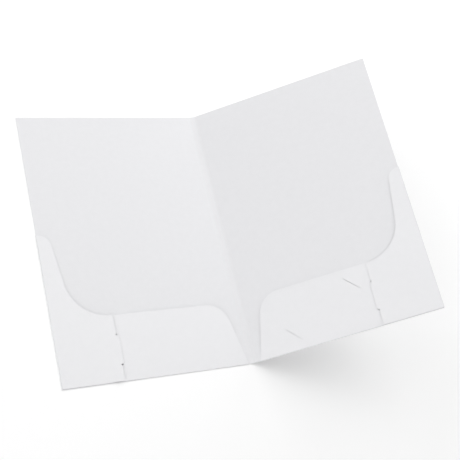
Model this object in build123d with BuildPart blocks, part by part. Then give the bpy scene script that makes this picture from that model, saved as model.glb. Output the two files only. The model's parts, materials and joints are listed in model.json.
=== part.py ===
"""Two pocket folder for A4 sheets, die-cut from one white board and locked without glue.

The folder lies open. The front cover rests on its outer face, and the spine and the back cover rise from it.
X runs across the folder, from the front cover to the spine, Y runs up the page and Z is up.
The origin is the centre of the front cover's outer face. Sizes are in millimetres and degrees.
"""
import os
from math import atan2, cos, pi, radians, sin, tan

from build123d import *

# Board and covers
board = 0.45  # thickness
cover_width = 213.0  # from the spine crease to the outer fold line
cover_height = 311.0  # from the bottom fold line to the top edge

# Spine
spine_width = 6.0  # between the axes of the two creases
crease_turn = 20.0  # bend of each spine crease, away from flat
crease_clearance = 0.05  # between a crease's bead and the panels beside it

# Pocket layers, counted from a cover's inner face
bottom_flap_gap = 0.7  # room for sheets behind the bottom flap
layer_clearance = 0.1  # between the bottom flap and what lies on either side of it

# Bottom flap
flap_height = 72.0
front_end_foot = 2.0  # from the spine crease to the front flap's inner end, at the fold
front_end_head = 17.0  # the same, at the flap's top edge
back_end_foot = 7.0  # from the spine crease to the back flap's inner end, at the fold
back_end_head = 24.0  # the same, at the flap's top edge
inner_end_radius = 27.0

# Side flap, with the S-curve of its top edge running down to the bottom flap's height
side_flap_height = 168.0
side_flap_width = 66.0  # from the outer fold line to the seam on the bottom flap
shoulder_run = 13.0
shoulder_drop = 2.0
shoulder_radius = 14.0
waist_run = 26.0  # from the outer fold line to the foot of the S-curve
waist_radius = 45.0
fillet_reach_share = 0.95  # how much of a straight run a rounded corner may use
corner_relief = 0.2  # cut back at the bottom corners, so that the two folds don't bind

# Lock tab at the end of the side flap, and the slit that it goes through
tab_foot = 18.0  # above the bottom fold line
tab_height = 31.0
tab_step = 2.0  # from the seam to the far face of the tab's bend
tab_tongue = 14.0  # length behind the bottom flap
tab_radius = 5.0
root_notch_radius = 0.9  # relief holes through both flaps, at the two ends of the tab's root
slit_clearance = 0.15  # around the tab's bend

# Tuck strip, the end of the bottom flap behind the side flap
tuck_end_foot = 0.3  # from the outer fold line to the strip's end, at the fold
tuck_end_head = 22.0  # the same, at the strip's top edge
tuck_drop = 3.0  # its top edge below the flap's

# Slits in the back pocket, which hold two corners of a business card
card_width = 90.0
card_height = 50.0
card_from_seam = 58.7  # centre of the card, from the side flap's end
card_height_share = 0.5  # centre of the card, as a share of the bottom flap's height
card_slit_length = 22.0
card_slit_width = 0.35
card_slit_inset = 6.9  # middle of a slit, in from the card's corner on both sides
card_slit_slope = -45.0

# Places that follow from the sizes above
bead_radius = board / 2
crease_setback = bead_radius + crease_clearance
side_flap_gap = bottom_flap_gap + board + layer_clearance
bottom_flap_level = board + bottom_flap_gap
side_flap_level = board + side_flap_gap
tongue_level = bottom_flap_level - layer_clearance - board
seam = cover_width - side_flap_width
tab_bend = seam - tab_step
card_from_crease = seam - card_from_seam
card_above_fold = card_height_share * flap_height

# Panels. On each panel u runs from the spine crease to the outer edge and v from the bottom edge to the top.
# lift is the sign that raises a layer towards the inside of the folder along the panel's normal.
front_hinge = Vector(cover_width / 2, -cover_height / 2, board / 2)
front_panel = Plane(
    origin=front_hinge - Vector(0, 0, board / 2),
    x_dir=(-1, 0, 0),
    z_dir=(0, 0, -1),
)
front_lift = -1


def raised_panel(hinge, turn):
    """A panel that leaves a hinge axis at an angle above the table, with its outer face as the plane."""
    along = Vector(cos(radians(turn)), 0, sin(radians(turn)))
    normal = Vector(-sin(radians(turn)), 0, cos(radians(turn)))
    return Plane(origin=hinge - normal * (board / 2), x_dir=along, z_dir=normal)


spine = raised_panel(front_hinge, crease_turn)
back_hinge = front_hinge + spine.x_dir * spine_width
back_panel = raised_panel(back_hinge, crease_turn + crease_turn)
back_lift = 1


def keep(piece, label):
    """Names a finished piece and writes it to its own file."""
    piece.part.label = label
    export_step(piece.part, f"parts/{label}.step")


def rounded(radius, run, before, after):
    """A corner radius between two directions in radians, limited by the shorter straight run beside it."""
    return min(radius, fillet_reach_share * run / abs(tan((after - before) / 2)))


def panel_board(panel, lift, start, end):
    """A flat rectangle of board on a panel, over the whole height of the cover."""
    with BuildPart() as plate:
        with BuildSketch(panel):
            with Locations((start, 0)):
                Rectangle(end - start, cover_height, align=(Align.MIN, Align.MIN))
        extrude(amount=lift * board)
    return plate


def crease_bead(hinge):
    """The rounded bead of a scored crease, along a hinge axis."""
    with BuildPart() as bead:
        with BuildSketch(Plane(origin=hinge, x_dir=(1, 0, 0), z_dir=(0, 1, 0))):
            Circle(bead_radius)
        extrude(amount=cover_height)
    return bead


def section_up(panel, v):
    """A section plane across the pages at height v. Its x is u, its y leaves the panel, and it looks down."""
    return Plane(
        origin=panel.from_local_coords((0, v, 0)),
        x_dir=panel.x_dir,
        z_dir=-panel.y_dir,
    )


def section_along(panel, u):
    """A section plane up the page at distance u. Its x is v, its y leaves the panel, and it looks outward."""
    return Plane(
        origin=panel.from_local_coords((u, 0, 0)),
        x_dir=panel.y_dir,
        z_dir=panel.x_dir,
    )


def fold(section, lift, edge, outward, gap, length):
    """The rounded fold that joins a cover to a flap above it, swept straight along the fold line."""
    middle = lift * (board + gap / 2)
    with BuildPart() as bend:
        with BuildSketch(section):
            with BuildLine():
                ThreePointArc(
                    (edge, 0),
                    (edge + outward * (board + gap / 2), middle),
                    (edge, lift * (board + gap + board)),
                )
                Line((edge, lift * (board + gap + board)), (edge, lift * (board + gap)))
                ThreePointArc(
                    (edge, lift * (board + gap)),
                    (edge + outward * gap / 2, middle),
                    (edge, lift * board),
                )
                Line((edge, lift * board), (edge, 0))
            make_face()
        extrude(amount=length)
    return bend


def cut_root_holes():
    """Cuts the relief holes beside the lock tab's root out of the sketch of a flap."""
    with Locations(
        (seam, tab_foot - root_notch_radius),
        (seam, tab_foot + tab_height + root_notch_radius),
    ):
        Circle(root_notch_radius, mode=Mode.SUBTRACT)


def bottom_flap(panel, lift, end_foot, end_head, has_card_slits):
    """The flap that folds up from the bottom edge, as far as the seam where the side flap covers it."""
    end = seam - layer_clearance
    slope = atan2(flap_height, end_head - end_foot)
    shorter_run = min(flap_height, end - end_head)
    radius = rounded(inner_end_radius, shorter_run, slope, 0)
    with BuildPart() as flap:
        with BuildSketch(panel.offset(lift * bottom_flap_level)):
            with BuildLine():
                FilletPolyline(
                    (end_foot, 0),
                    (end_head, flap_height),
                    (end, flap_height),
                    radius=radius,
                )
                Polyline((end, flap_height), (end, 0), (end_foot, 0))
            make_face()
            with Locations((tab_bend + board / 2, tab_foot + tab_height / 2)):
                Rectangle(
                    board + 2 * slit_clearance,
                    tab_height + 2 * slit_clearance,
                    mode=Mode.SUBTRACT,
                )
            cut_root_holes()
            if has_card_slits:
                across = card_width / 2 - card_slit_inset
                up = card_height / 2 - card_slit_inset
                with Locations(
                    (card_from_crease + across, card_above_fold + up),
                    (card_from_crease - across, card_above_fold - up),
                ):
                    Rectangle(
                        card_slit_length,
                        card_slit_width,
                        rotation=card_slit_slope,
                        mode=Mode.SUBTRACT,
                    )
        extrude(amount=lift * board)
    return flap


def tuck_strip(panel, lift):
    """The end of the bottom flap that lies behind the side flap, cut back on a slant."""
    with BuildPart() as strip:
        with BuildSketch(panel.offset(lift * bottom_flap_level)):
            with BuildLine():
                Polyline(
                    (seam, 0),
                    (seam, flap_height - tuck_drop),
                    (cover_width - tuck_end_head, flap_height - tuck_drop),
                    (cover_width - tuck_end_foot, 0),
                    close=True,
                )
            make_face()
            cut_root_holes()
        extrude(amount=lift * board)
    return strip


def side_flap(panel, lift):
    """The flap that folds in from the outer edge, with an S-curve from its tall edge to the bottom flap."""
    shoulder = atan2(-shoulder_drop, -shoulder_run)
    fall = atan2(flap_height - side_flap_height + shoulder_drop, shoulder_run - waist_run)
    with BuildPart() as flap:
        with BuildSketch(panel.offset(lift * side_flap_level)):
            with BuildLine():
                FilletPolyline(
                    (cover_width, side_flap_height),
                    (cover_width - shoulder_run, side_flap_height - shoulder_drop),
                    (cover_width - waist_run, flap_height),
                    (seam, flap_height),
                    radius=[
                        rounded(shoulder_radius, shoulder_run, shoulder, fall),
                        rounded(waist_radius, side_flap_width - waist_run, fall, -pi),
                    ],
                )
                Polyline(
                    (seam, flap_height),
                    (seam, corner_relief),
                    (cover_width, corner_relief),
                    (cover_width, side_flap_height),
                )
            make_face()
            cut_root_holes()
        extrude(amount=lift * board)
    return flap


def lock_tab(panel, lift):
    """The tongue at the end of the side flap, which goes through the slit and lies behind the bottom flap."""
    flap_top = side_flap_level + board
    tip = tab_bend - tab_tongue
    with BuildPart() as tab:
        with BuildSketch(section_up(panel, tab_foot + tab_height)):
            with BuildLine():
                Polyline(
                    (seam, lift * side_flap_level),
                    (seam, lift * flap_top),
                    (tab_bend, lift * flap_top),
                    (tab_bend, lift * (tongue_level + board)),
                    (tip, lift * (tongue_level + board)),
                    (tip, lift * tongue_level),
                    (tab_bend + board, lift * tongue_level),
                    (tab_bend + board, lift * side_flap_level),
                    close=True,
                )
            make_face()
        extrude(amount=tab_height)
        tip_edges = tab.edges().filter_by(Axis(panel.origin, panel.z_dir))
        tip_corners = tip_edges.sort_by(Axis(panel.origin, panel.x_dir))[:2]
        fillet(tip_corners, radius=tab_radius)
    return tab


os.makedirs("parts", exist_ok=True)

# Covers, spine and the two spine creases
front_cover = panel_board(front_panel, front_lift, crease_setback, cover_width)
keep(front_cover, "front_cover")
spine_panel = panel_board(spine, back_lift, crease_setback, spine_width - crease_setback)
keep(spine_panel, "spine_panel")
back_cover = panel_board(back_panel, back_lift, crease_setback, cover_width)
keep(back_cover, "back_cover")
keep(crease_bead(front_hinge), "spine_crease_front")
keep(crease_bead(back_hinge), "spine_crease_back")

# The two pockets, mirror images but for the bottom flaps' inner ends and the card slits in the back one
for side, panel, lift, end_foot, end_head in (
    ("front", front_panel, front_lift, front_end_foot, front_end_head),
    ("back", back_panel, back_lift, back_end_foot, back_end_head),
):
    keep(bottom_flap(panel, lift, end_foot, end_head, has_card_slits=side == "back"), f"{side}_bottom_flap")
    keep(tuck_strip(panel, lift), f"{side}_tuck_strip")
    keep(side_flap(panel, lift), f"{side}_side_flap")
    keep(lock_tab(panel, lift), f"{side}_lock_tab")
    bottom_fold_length = cover_width - tuck_end_foot - end_foot
    bottom_fold = fold(
        section_along(panel, end_foot), lift, 0, -1, bottom_flap_gap, bottom_fold_length
    )
    keep(bottom_fold, f"{side}_bottom_crease")
    side_fold_length = side_flap_height - corner_relief
    side_fold = fold(
        section_up(panel, side_flap_height), lift, cover_width, 1, side_flap_gap, side_fold_length
    )
    keep(side_fold, f"{side}_side_crease")
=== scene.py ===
"""Looks of the two pocket folder: white die-cut board, open on a pale studio floor."""
import json
from math import cos, pi, radians, sin, tan

import bmesh
import bpy
from mathutils import Matrix, Vector


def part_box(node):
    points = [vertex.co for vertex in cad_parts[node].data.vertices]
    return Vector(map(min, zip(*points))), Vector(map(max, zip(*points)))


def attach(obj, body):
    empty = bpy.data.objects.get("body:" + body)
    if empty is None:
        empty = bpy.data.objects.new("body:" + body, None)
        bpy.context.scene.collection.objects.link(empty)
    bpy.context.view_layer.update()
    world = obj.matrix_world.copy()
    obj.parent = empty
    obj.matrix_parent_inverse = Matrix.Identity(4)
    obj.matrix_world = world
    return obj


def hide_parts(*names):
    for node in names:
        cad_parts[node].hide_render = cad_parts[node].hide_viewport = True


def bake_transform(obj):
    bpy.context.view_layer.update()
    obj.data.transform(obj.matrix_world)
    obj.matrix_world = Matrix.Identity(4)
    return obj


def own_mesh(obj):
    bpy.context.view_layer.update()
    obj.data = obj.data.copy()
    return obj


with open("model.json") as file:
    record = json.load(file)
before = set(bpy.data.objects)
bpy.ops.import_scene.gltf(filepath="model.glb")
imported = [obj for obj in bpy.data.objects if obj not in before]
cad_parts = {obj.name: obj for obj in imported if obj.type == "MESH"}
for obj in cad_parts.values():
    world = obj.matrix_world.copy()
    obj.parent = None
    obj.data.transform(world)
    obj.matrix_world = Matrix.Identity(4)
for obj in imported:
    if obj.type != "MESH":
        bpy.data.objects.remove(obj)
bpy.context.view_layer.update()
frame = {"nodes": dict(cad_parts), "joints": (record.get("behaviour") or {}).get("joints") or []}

MM = 0.001
WHITE = (1, 1, 1, 1)
X_AXIS, Y_AXIS, Z_AXIS = Vector((1, 0, 0)), Vector((0, 1, 0)), Vector((0, 0, 1))

# Camera, solved from the folder's corners in the photograph
CAMERA_PLACE = Vector((-0.3662, -0.3563, 0.8866))
CAMERA_FORWARD = Vector((0.4551, 0.3363, -0.8245))
CAMERA_UP = Vector((0.0558, 0.9134, 0.4033))
FOCAL_PIXELS = 918.9
IMAGE_PIXELS = 460
SENSOR_WIDTH = 36.0
CLIP_START = 0.01

# Softboxes: azimuth and elevation in degrees, and power in watts
FOLDER_MIDDLE = Vector((0.08, 0, 0.03))
SOFTBOX_SIZE = 1.6
SOFTBOX_REACH = 1.6
SOFTBOXES = {
    "right_softbox": (45, 50, 17.0),
    "back_softbox": (135, 50, 8.7),
    "front_softbox": (225, 22, 12.0),
}

# Background: the floor near the folder is lit like the folder, and runs out to white
FLOOR_REACH = 3.0
FLOOR_LEVEL = -0.1 * MM
FLOOR_GLOW = 0.09
FLOOR_NEAR = 0.36
FLOOR_FAR = 0.8
WORLD_LIGHT = 0.25

# Noise patterns: scale, detail and roughness
MOTTLE = (160, 4, 0.6)
TOOTH = (2600, 3, 0.7)
FIBRE = (3200, 6, 0.8)
CLOUD = (3, 2, 0.5)
PATTERN_LOW, PATTERN_HIGH = 0.3, 0.7

# Surfaces: darkest and lightest colour, roughness and specular level
INSIDE_LOOK = ((0.814, 0.814, 0.830), (0.828, 0.828, 0.844), 0.75, 0.28)
# The outside face is coloured lighter than the inside as painted light, so that the flap fronts come out
# brighter than the covers
OUTSIDE_PAINTED_LIGHT_LOOK = ((0.852, 0.852, 0.867), (0.864, 0.864, 0.879), 0.65, 0.28)
EDGE_LOOK = ((0.76, 0.76, 0.77), (0.84, 0.84, 0.85), 0.9, 0.15)
FLOOR_LOOK = ((0.96, 0.96, 0.96), (0.97, 0.97, 0.97), 1.0, 0.0)
TOOTH_STRENGTH = 0.12
TOOTH_DEPTH = 0.03 * MM

# Bottom flaps: lift along the top edge, lift at the end by the spine and its share of the cover
TOP_LIFT = {"front": 0.8 * MM, "back": 0.6 * MM}
END_LIFT = {"front": 0.9 * MM, "back": 1.4 * MM}
END_SHARE = 0.3

# Side flaps: bow across the width, and how far it reaches above the bottom flap
BOW_LIFT = {"front": 0.7 * MM, "back": 1.3 * MM}
BOW_REACH = 60 * MM

# Ends of the side flaps: lift above the lock tab, at its root and below it, and how it eases out
SEAM_LIFT = {"front": 1.2 * MM, "back": 0.1 * MM}
ROOT_LIFT = {"front": 1.3 * MM, "back": 0.1 * MM}
FOOT_LIFT = {"front": 1.5 * MM, "back": 0.85 * MM}
TAB_EASE = 9 * MM
SPRING_SHARE = 0.25

# Layers, which lie on each other away from the lock tab's tongue
LAYER_GAP = 0.05 * MM
TONGUE_REACH = 32 * MM

# Unfolding: room beside the folds
FOLD_ROOM = 0.05 * MM
TUCK_ROOM = 1.0 * MM

# Creases, and the steps and tolerances of the meshes
CREASE_REACH = 1.2 * MM
BEND_STEPS = 12
GRID_STEP = 4 * MM
WELD = 0.002 * MM
SEAM_WELD = 0.01 * MM
FLAT_TURN = radians(0.5)
SHARP_TURN = radians(35)
EDGE_LEAN = 0.5

# Places read from the frame, with the sizes of both pockets measured on the front one
joint = {j["name"]: j for j in frame["joints"]}
front_hinge = Vector(joint["spine_fold"]["pos_m"])
back_hinge = Vector(joint["back_cover_fold"]["pos_m"])
back_along = Vector(joint["back_bottom_fold"]["axis"]).normalized()
cover_low, cover_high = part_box("front_cover")
board = cover_high.z - cover_low.z
bottom, top = cover_low.y, cover_high.y
cover_width = front_hinge.x - joint["front_side_fold"]["pos_m"][0]
side_low, side_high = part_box("front_side_flap")
side_width = side_high.x - side_low.x
side_height = side_high.y - bottom
side_level = side_low.z
flap_low, flap_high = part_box("front_bottom_flap")
flap_height = flap_high.y - bottom
flap_end = front_hinge.x - flap_low.x
bottom_level, bottom_face = flap_low.z, flap_high.z
layer_drop = bottom_level - cover_high.z - LAYER_GAP
strip_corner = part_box("front_tuck_strip")[1]
seam, strip_top = front_hinge.x - strip_corner.x, strip_corner.y - bottom
tab_low, tab_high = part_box("front_lock_tab")
tab_foot, tab_head = tab_low.y - bottom, tab_high.y - bottom
tongue_outer, tongue_inner = front_hinge.x - tab_low.x, front_hinge.x - tab_high.x


class Panel:
    """A cover's own axes: u from the spine to the outer edge, v up the page and w into the folder."""

    def __init__(self, corner, along, normal):
        self.corner, self.along, self.normal = corner, along, normal

    def point(self, u, v, w):
        return self.corner + self.along * u + Y_AXIS * v + self.normal * w

    def local(self, place):
        offset = place - self.corner
        return offset.dot(self.along), offset.y, offset.dot(self.normal)


back_normal = back_along.cross(Y_AXIS)
front_corner = Vector((front_hinge.x, bottom, cover_low.z))
back_corner = Vector((back_hinge.x, bottom, back_hinge.z)) - back_normal * (board / 2)
panels = {
    "front": Panel(front_corner, -X_AXIS, Z_AXIS),
    "back": Panel(back_corner, back_along, back_normal),
}


def panel_spans(side, node):
    """Reach of a node along its cover's own axes: lowest and highest u, v and w."""
    places = [panels[side].local(vertex.co) for vertex in frame["nodes"][node].data.vertices]
    return [(min(axis), max(axis)) for axis in zip(*places)]


def smooth_step(value):
    """Eases from 0 to 1 as value goes from 0 to 1."""
    t = min(1.0, max(0.0, value))
    return t * t * (3 - 2 * t)


# Materials

def noise(tree, coordinates, scale, detail, roughness):
    """A noise pattern over some coordinates."""
    texture = tree.nodes.new("ShaderNodeTexNoise")
    texture.inputs["Scale"].default_value = scale
    texture.inputs["Detail"].default_value = detail
    texture.inputs["Roughness"].default_value = roughness
    tree.links.new(coordinates, texture.inputs["Vector"])
    return texture.outputs["Fac"]


def colour_between(tree, factor, dark, light):
    """A colour that runs from dark to light over the middle of a pattern."""
    ramp = tree.nodes.new("ShaderNodeValToRGB")
    first, last = ramp.color_ramp.elements
    first.position, last.position = PATTERN_LOW, PATTERN_HIGH
    first.color, last.color = (*dark, 1), (*light, 1)
    tree.links.new(factor, ramp.inputs["Fac"])
    return ramp.outputs["Color"]


def matt_material(name, pattern, dark, light, roughness, specular):
    """A mottled material, with its node tree, its shader and its object's own coordinates."""
    material = bpy.data.materials.new(name)
    material.use_nodes = True
    tree = material.node_tree
    shader = tree.nodes["Principled BSDF"]
    place = tree.nodes.new("ShaderNodeTexCoord").outputs["Object"]
    tint = colour_between(tree, noise(tree, place, *pattern), dark, light)
    tree.links.new(tint, shader.inputs["Base Color"])
    shader.inputs["Roughness"].default_value = roughness
    shader.inputs["Specular IOR Level"].default_value = specular
    return material, tree, shader, place


def combined(tree, operation, first, second):
    """Two values put together by a product, a maximum or the like."""
    node = tree.nodes.new("ShaderNodeMath")
    node.operation = operation
    tree.links.new(first, node.inputs[0])
    tree.links.new(second, node.inputs[1])
    return node.outputs["Value"]


def eased(tree, value, low, high, first, last):
    """A value that goes smoothly from first to last as another goes from low to high."""
    node = tree.nodes.new("ShaderNodeMapRange")
    node.interpolation_type = "SMOOTHSTEP"
    for socket, number in (("From Min", low), ("From Max", high), ("To Min", first), ("To Max", last)):
        node.inputs[socket].default_value = number
    tree.links.new(value, node.inputs["Value"])
    return node.outputs["Result"]


def seen_rays(tree):
    """1 for what is seen straight, in a mirror or through glass, and 0 for the light that it throws."""
    ray = tree.nodes.new("ShaderNodeLightPath")
    seen = ray.outputs["Is Camera Ray"]
    for way in ("Is Glossy Ray", "Is Transmission Ray"):
        seen = combined(tree, "MAXIMUM", seen, ray.outputs[way])
    return seen


def board_face(name, look):
    """One face of the white board, faintly mottled, with a fine tooth."""
    material, tree, shader, place = matt_material(name, MOTTLE, *look)
    bump = tree.nodes.new("ShaderNodeBump")
    bump.inputs["Strength"].default_value = TOOTH_STRENGTH
    bump.inputs["Distance"].default_value = TOOTH_DEPTH
    tree.links.new(noise(tree, place, *TOOTH), bump.inputs["Height"])
    tree.links.new(bump.outputs["Normal"], shader.inputs["Normal"])
    return material


def board_edge():
    """Raw cut edge of the board, where the pulp fibres show."""
    return matt_material("board_edge", FIBRE, *EDGE_LOOK)[0]


# The board's outside face is painted lighter than its inside, painted light that makes the flap fronts
# brighter than the covers; it is outside on the covers, and folds over to the front of the flaps
INSIDE, OUTSIDE, EDGE = range(3)
SURFACES = (
    board_face("board_inside", INSIDE_LOOK),
    board_face("board_outside_painted_light", OUTSIDE_PAINTED_LIGHT_LOOK),
    board_edge(),
)


# Board pieces

def surface_sides(bm, inward):
    """Gives a flat board its surfaces: the inside faces inward, and the cut edges stand square to it."""
    bmesh.ops.recalc_face_normals(bm, faces=bm.faces)
    for face in bm.faces:
        lean = face.normal.dot(inward)
        if abs(lean) < EDGE_LEAN:
            face.material_index = EDGE
        else:
            face.material_index = INSIDE if lean > 0 else OUTSIDE


def finish_piece(name, bm):
    """Turns a mesh into a piece of board."""
    bmesh.ops.recalc_face_normals(bm, faces=bm.faces)
    bm.normal_update()
    for face in bm.faces:
        face.smooth = True
    for edge in bm.edges:
        edge.smooth = edge.calc_face_angle(pi) < SHARP_TURN
    mesh = bpy.data.meshes.new(name)
    bm.to_mesh(mesh)
    bm.free()
    for material in SURFACES:
        mesh.materials.append(material)
    piece = bpy.data.objects.new(name, mesh)
    bpy.context.scene.collection.objects.link(piece)
    return piece


def cut_across(bm, place, direction, clear=False):
    """Cuts a mesh across at a place, and can clear away what lies before it."""
    geometry = bm.verts[:] + bm.edges[:] + bm.faces[:]
    bmesh.ops.bisect_plane(
        bm, geom=geometry, plane_co=place, plane_no=direction, dist=WELD, clear_inner=clear
    )


def cut_grid(bm, origin, direction, length):
    """Cuts a mesh across at even steps along a direction, so that it can bend."""
    for index in range(1, int(length / GRID_STEP) + 1):
        cut_across(bm, origin + direction * (index * GRID_STEP), direction)


def board_copy(*nodes):
    """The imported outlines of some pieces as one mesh."""
    bm = bmesh.new()
    for node in nodes:
        mesh = frame["nodes"][node].data
        corners = [bm.verts.new(vertex.co) for vertex in mesh.vertices]
        for polygon in mesh.polygons:
            bm.faces.new([corners[index] for index in polygon.vertices])
    bmesh.ops.remove_doubles(bm, verts=bm.verts[:], dist=WELD)
    bmesh.ops.dissolve_limit(bm, angle_limit=FLAT_TURN, verts=bm.verts[:], edges=bm.edges[:])
    return bm


def open_wall(bm, panel, place, low, high):
    """Takes out the wall between two boards that meet along a line up the page, from low to high."""
    def in_wall(vertex):
        u, v, _ = panel.local(vertex.co)
        return abs(u - place) < SEAM_WELD and low - SEAM_WELD < v < high + SEAM_WELD

    walls = [face for face in bm.faces if all(in_wall(vertex) for vertex in face.verts)]
    bmesh.ops.delete(bm, geom=walls, context="FACES")


def join_strip(bm, panel):
    """Draws the tucked strip up to the bottom flap's end and joins them, as both are one board."""
    for vertex in bm.verts:
        if abs(panel.local(vertex.co)[0] - seam) < WELD:
            vertex.co -= panel.along * (seam - flap_end)
    cut_across(bm, panel.point(0, strip_top, 0), Y_AXIS)
    bmesh.ops.remove_doubles(bm, verts=bm.verts[:], dist=SEAM_WELD)
    open_wall(bm, panel, flap_end, 0, strip_top)


def join_tab(bm, panel):
    """Joins the lock tab to the side flap's end, as both are one board."""
    open_wall(bm, panel, seam, tab_foot, tab_head)


def clear_folds(bm, panel):
    """Draws a flap a little back from the cover's edges, which leaves its folds room to unroll."""
    for vertex in bm.verts:
        u, v, w = panel.local(vertex.co)
        edge_room = FOLD_ROOM if w > bottom_face else TUCK_ROOM
        vertex.co -= panel.along * max(0, u - cover_width + edge_room)
        vertex.co += Y_AXIS * max(0, FOLD_ROOM - v)


def cover(side):
    """A cover, cut back to where its spine crease starts to bend."""
    panel = panels[side]
    bm = board_copy(f"{side}_cover")
    cut_across(bm, panel.point(CREASE_REACH, 0, 0), panel.along, clear=True)
    bmesh.ops.holes_fill(bm, edges=[edge for edge in bm.edges if edge.is_boundary])
    surface_sides(bm, panel.normal)
    piece = finish_piece(f"{side}_cover_board", bm)
    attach(piece, f"{side}_cover")
    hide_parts(f"{side}_cover")


def pocket_lift(u, v):
    """Lift of a pocket's layers, which lie flat on each other except over the lock tab's tongue."""
    beside = max(u - tongue_outer, tongue_inner - u, 0)
    above = max(v - tab_head, tab_foot - v, 0)
    return -layer_drop * smooth_step((beside ** 2 + above ** 2) ** 0.5 / TONGUE_REACH)


def bottom_lift(side, u, v, _):
    """Lift of the bottom flap, which springs up along its top edge, and more at its end by the spine."""
    free_end = smooth_step(1 - u / (END_SHARE * cover_width))
    free_edge = smooth_step((flap_end - u) / TONGUE_REACH)
    rise = TOP_LIFT[side] * free_edge + END_LIFT[side] * free_end
    return pocket_lift(u, v) + rise * min(1.0, v / flap_height)


def seam_lift(side, v):
    """Lift of the side flap's end, which differs above the lock tab, at its root and below it."""
    above = smooth_step((v - tab_head) / TAB_EASE)
    below = smooth_step((tab_foot - v) / TAB_EASE)
    root = ROOT_LIFT[side]
    return root + (SEAM_LIFT[side] - root) * above + (FOOT_LIFT[side] - root) * below


def side_lift(side, u, v, w):
    """Lift of the side flap, which bows across its width and springs up at its end, but for the tongue."""
    share = (cover_width - u) / side_width
    across = sin(pi * min(1.0, max(0.0, share)))
    fade = smooth_step(v / flap_height) * smooth_step(1 - (v - flap_height) / BOW_REACH)
    bow = BOW_LIFT[side] * across * fade
    spring = seam_lift(side, v) * smooth_step((share - 1) / SPRING_SHARE + 1) if w > bottom_face else 0
    return pocket_lift(u, v) + bow + spring


def flap(side, name, nodes, join, lift, level):
    """A pocket flap, bowed off the flat layers."""
    panel = panels[side]
    bm = board_copy(*nodes)
    join(bm, panel)
    clear_folds(bm, panel)
    cut_grid(bm, panel.corner, panel.along, cover_width)
    cut_grid(bm, panel.corner, Y_AXIS, side_height)
    for vertex in bm.verts:
        vertex.co += panel.normal * lift(side, *panel.local(vertex.co))
    surface_sides(bm, -panel.normal)
    piece = finish_piece(f"{side}_{name}_board", bm)
    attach(piece, f"{side}_{name}")
    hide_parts(*nodes)
    panel.point(0, 0, level)
    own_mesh(piece)


def strip(name, path, place, start, end):
    """Board bent along a centre line in a section and drawn straight from start to end."""
    count = len(path)
    sides = ([], [])
    for index, (x, y) in enumerate(path):
        before, after = path[max(0, index - 1)], path[min(count - 1, index + 1)]
        run = Vector((after[0] - before[0], after[1] - before[1])).normalized()
        for offset, points in zip((board / 2, -board / 2), sides):
            points.append((x - run.y * offset, y + run.x * offset))
    outline = sides[0] + sides[1][::-1]
    bm = bmesh.new()
    rows = [[bm.verts.new(place(x, y, t)) for x, y in outline] for t in (start, end)]
    for index in range(len(outline)):
        following = (index + 1) % len(outline)
        face = bm.faces.new((rows[0][index], rows[0][following], rows[1][following], rows[1][index]))
        face.material_index = INSIDE if index < count - 1 else OUTSIDE
    for row in rows:
        for index in range(count - 1):
            face = bm.faces.new((row[index], row[index + 1], row[-2 - index], row[-1 - index]))
            face.material_index = EDGE
    return finish_piece(name, bm)


def arc(centre, radius, first, last):
    """Points along an arc in a section, with angles in radians."""
    angles = [first + (last - first) * step / BEND_STEPS for step in range(BEND_STEPS + 1)]
    return [(centre[0] + radius * cos(a), centre[1] + radius * sin(a)) for a in angles]


def spine_bend(name, hinge, along_in, along_out, before, after, nodes):
    """A soft scored crease, with the part of the spine beside it."""
    turn = along_in.angle(along_out)
    normal_in = along_in.cross(Y_AXIS)
    radius = CREASE_REACH / tan(turn / 2)
    path = arc((-CREASE_REACH, radius), radius, -pi / 2, turn - pi / 2)
    if before > CREASE_REACH:
        path = [(-before, 0)] + path
    if after > CREASE_REACH:
        path = path + [(after * cos(turn), after * sin(turn))]

    def place(x, y, t):
        return hinge + along_in * x + normal_in * y + Y_AXIS * t

    piece = strip(name, path, place, bottom, top)
    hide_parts(*nodes)
    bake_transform(piece)


def flap_fold(side, flap_name, gap, place, start, end):
    """The rounded fold from a cover to a flap."""
    panel = panels[side]
    path = arc((0, board + gap / 2), (board + gap) / 2, -pi / 2, pi / 2)
    piece = strip(f"{side}_{flap_name}_fold", path, place, start, end)
    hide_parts(f"{side}_{flap_name}_crease")
    panel.point(0, 0, board)
    panel.point(0, 0, board + gap)
    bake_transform(piece)


def pocket(side):
    """Both flaps of a cover, with their folds."""
    panel = panels[side]
    bottom_nodes = (f"{side}_bottom_flap", f"{side}_tuck_strip")
    flap(side, "bottom", bottom_nodes, join_strip, bottom_lift, bottom_level)
    side_nodes = (f"{side}_side_flap", f"{side}_lock_tab")
    flap(side, "side", side_nodes, join_tab, side_lift, side_level)
    along_span, _, _ = panel_spans(side, f"{side}_bottom_crease")
    flap_fold(
        side, "bottom", bottom_level - board - layer_drop,
        lambda x, y, t: panel.point(t, -x, y), *along_span,
    )
    _, up_span, _ = panel_spans(side, f"{side}_side_crease")
    flap_fold(
        side, "side", side_level - board - layer_drop,
        lambda x, y, t: panel.point(cover_width + x, t, y), *up_span,
    )


cover("front")
cover("back")
spine_along = (back_hinge - front_hinge).normalized()
half_spine = (back_hinge - front_hinge).length / 2
spine_bend(
    "spine_bend_front", front_hinge, X_AXIS, spine_along, CREASE_REACH, half_spine,
    ("spine_crease_front", "spine_panel"),
)
spine_bend(
    "spine_bend_back", back_hinge, spine_along, back_along, half_spine, CREASE_REACH,
    ("spine_crease_back",),
)
pocket("front")
pocket("back")


# Floor, light and camera

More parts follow.
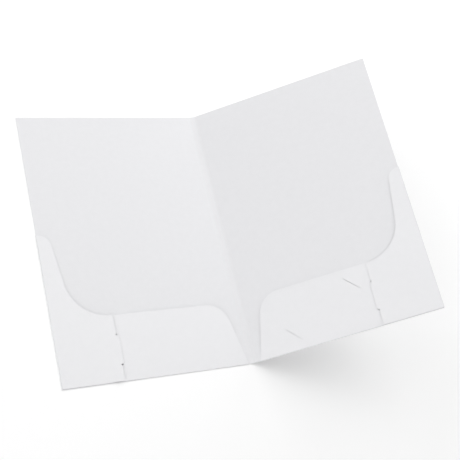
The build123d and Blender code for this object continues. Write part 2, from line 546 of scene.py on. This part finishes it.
def studio_floor():
    """A wide pale floor just under the folder."""
    mesh = bpy.data.meshes.new("studio_floor")
    signs = ((-1, -1), (1, -1), (1, 1), (-1, 1))
    corners = [(x * FLOOR_REACH, y * FLOOR_REACH, FLOOR_LEVEL) for x, y in signs]
    mesh.from_pydata(corners, [], [(0, 1, 2, 3)])
    floor = bpy.data.objects.new("studio_floor", mesh)
    bpy.context.scene.collection.objects.link(floor)
    material, tree, shader, place = matt_material("pale_floor", CLOUD, *FLOOR_LOOK)
    apart = tree.nodes.new("ShaderNodeVectorMath")
    apart.operation = "DISTANCE"
    apart.inputs[1].default_value = FOLDER_MIDDLE
    tree.links.new(place, apart.inputs[0])
    glow = eased(tree, apart.outputs["Value"], FLOOR_NEAR, FLOOR_FAR, FLOOR_GLOW, 1)
    shader.inputs["Emission Color"].default_value = WHITE
    tree.links.new(combined(tree, "MULTIPLY", seen_rays(tree), glow), shader.inputs["Emission Strength"])
    mesh.materials.append(material)


def studio_world():
    """Even white light from all round, and a white backdrop."""
    world = bpy.data.worlds.new("studio_world")
    world.use_nodes = True
    tree = world.node_tree
    background = tree.nodes["Background"]
    background.inputs["Color"].default_value = WHITE
    strength = eased(tree, seen_rays(tree), 0, 1, WORLD_LIGHT, 1)
    tree.links.new(strength, background.inputs["Strength"])
    bpy.context.scene.world = world


def soft_light(name, azimuth, elevation, power):
    """A large square softbox that faces the folder's middle."""
    light = bpy.data.lights.new(name, "AREA")
    light.size, light.energy = SOFTBOX_SIZE, power
    lamp = bpy.data.objects.new(name, light)
    turn, rise = radians(azimuth), radians(elevation)
    outward = Vector((cos(rise) * cos(turn), cos(rise) * sin(turn), sin(rise)))
    lamp.location = FOLDER_MIDDLE + outward * SOFTBOX_REACH
    lamp.rotation_euler = outward.to_track_quat("Z", "Y").to_euler()
    bpy.context.scene.collection.objects.link(lamp)


def photo_camera():
    """The photograph's viewpoint."""
    camera = bpy.data.cameras.new("photo_camera")
    camera.sensor_width = SENSOR_WIDTH
    camera.lens = FOCAL_PIXELS * SENSOR_WIDTH / IMAGE_PIXELS
    camera.clip_start = CLIP_START
    viewer = bpy.data.objects.new("photo_camera", camera)
    backward = -CAMERA_FORWARD.normalized()
    right = CAMERA_UP.cross(backward).normalized()
    up = backward.cross(right)
    turn = Matrix((right, up, backward)).transposed().to_4x4()
    viewer.matrix_world = Matrix.Translation(CAMERA_PLACE) @ turn
    bpy.context.scene.collection.objects.link(viewer)
    bpy.context.scene.camera = viewer


studio_floor()
studio_world()
for softbox, setting in SOFTBOXES.items():
    soft_light(softbox, *setting)
photo_camera()
bpy.context.scene.view_settings.view_transform = "Standard"
